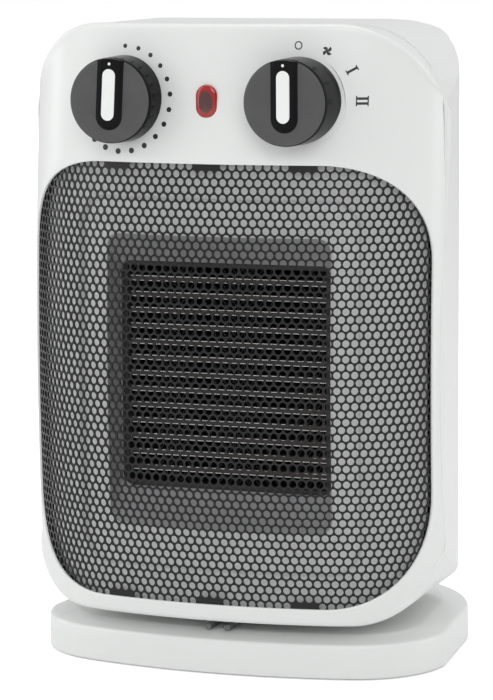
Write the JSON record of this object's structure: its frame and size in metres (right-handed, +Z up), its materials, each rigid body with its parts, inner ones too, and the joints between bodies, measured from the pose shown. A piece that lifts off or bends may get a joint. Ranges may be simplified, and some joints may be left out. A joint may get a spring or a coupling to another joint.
{
  "type": "ceramic space heater",
  "caption": "Small oscillating ceramic fan heater: rounded white head with a perforated black grille, two knobs and a pilot lamp, on a flat swivel base.",
  "frame": {"origin": "on the floor under the swivel axis, at the middle of the footprint", "axes": "+Z up, the grille and knobs face -Y, +X is to the right seen from the front"},
  "size_m": [0.17, 0.1555, 0.253],
  "materials": {
    "white_casing": "satin",
    "white_plastic": "satin",
    "grille_black": "satin",
    "frame_black": "satin",
    "knob_black": "satin",
    "pointer_white": "gloss",
    "lens_red": "gloss",
    "lamp_amber": "clear",
    "zinc_steel": "satin",
    "lamination": "satin",
    "contact_aluminium": "satin",
    "fin_metal": "dull",
    "ceramic_brown": "dull",
    "bearing_bronze": "satin",
    "winding_copper": "gloss",
    "foot_rubber": "matte",
    "filter_grey": "matte",
    "lead_red": "satin",
    "insulator_cream": "matte",
    "washer_nylon": "satin"
  },
  "bodies": {
    "base": {"base_cover": "white_casing", "base_plate": "zinc_steel", "rubber_feet": "foot_rubber", "base_screws": "zinc_steel", "swivel_washer": "washer_nylon", "crank_track": "white_plastic", "tip_switch": "frame_black", "cord_gland": "foot_rubber", "cord_clamp": "white_plastic", "clamp_screws": "zinc_steel"},
    "head": {"swivel_post": "white_plastic", "swivel_retainer": "zinc_steel", "post_screws": "zinc_steel", "front_frame": "white_casing", "front_grille": "grille_black", "air_duct": "white_plastic", "heater_frame": "frame_black", "ceramic_bars": "ceramic_brown", "contact_plates": "contact_aluminium", "heater_fins": "fin_metal", "heater_terminals": "zinc_steel", "thermal_cutout": "zinc_steel", "thermal_fuse": "insulator_cream", "fan_duct": "white_plastic", "motor_brackets": "zinc_steel", "motor_screws": "zinc_steel", "motor_bearings": "bearing_bronze", "stator_core": "lamination", "motor_coil": "winding_copper", "rear_shell": "white_casing", "rear_grille": "white_plastic", "dust_filter": "filter_grey", "control_bracket": "zinc_steel", "bracket_screws": "zinc_steel", "thermostat_body": "frame_black", "switch_body": "frame_black", "pilot_lens": "lens_red", "pilot_lamp": "lamp_amber", "swing_motor": "zinc_steel", "swing_switch_body": "frame_black", "terminal_block": "insulator_cream", "wiring": "lead_red", "housing_screws": "zinc_steel"},
    "plunger": {"tip_plunger": "washer_nylon"},
    "fan": {"motor_rotor": "lamination", "fan_shaft": "zinc_steel", "fan_wheel": "frame_black", "fan_nut": "zinc_steel"},
    "thermostat": {"thermostat_spindle": "zinc_steel", "thermostat_knob": "knob_black", "thermostat_pointer": "pointer_white"},
    "function": {"switch_spindle": "zinc_steel", "function_knob": "knob_black", "function_pointer": "pointer_white"},
    "crank": {"swing_crank": "frame_black"},
    "rocker": {"swing_rocker": "knob_black"}
  },
  "joints": [
    {"name": "head_swing", "type": "hinge", "parent": "base", "child": "head", "pos_m": [0, 0, 0.016], "axis": [0, 0, 1], "range_deg": [-25, 25]},
    {"name": "plunger_slide", "type": "slide", "parent": "base", "child": "plunger", "axis": [0, 0, 1], "range_m": [-0.002, 0], "stiffness_N_per_m": 60, "springref_m": -0.003},
    {"name": "fan_spin", "type": "hinge", "parent": "head", "child": "fan", "pos_m": [0, 0, 0.1145], "axis": [0, 1, 0], "continuous": true},
    {"name": "thermostat_dial", "type": "hinge", "parent": "head", "child": "thermostat", "pos_m": [-0.0353, -0.06, 0.224], "axis": [0, 1, 0], "range_deg": [-3, 266]},
    {"name": "function_dial", "type": "hinge", "parent": "head", "child": "function", "pos_m": [0.0353, -0.06, 0.224], "axis": [0, 1, 0], "range_deg": [0, 90]},
    {"name": "crank_spin", "type": "hinge", "parent": "head", "child": "crank", "pos_m": [0, -0.038, 0.02], "axis": [0, 0, 1], "continuous": true},
    {"name": "rocker_tilt", "type": "hinge", "parent": "head", "child": "rocker", "pos_m": [0, 0.0399, 0.205], "axis": [1, 0, 0], "range_deg": [-14, 0]}
  ]
}
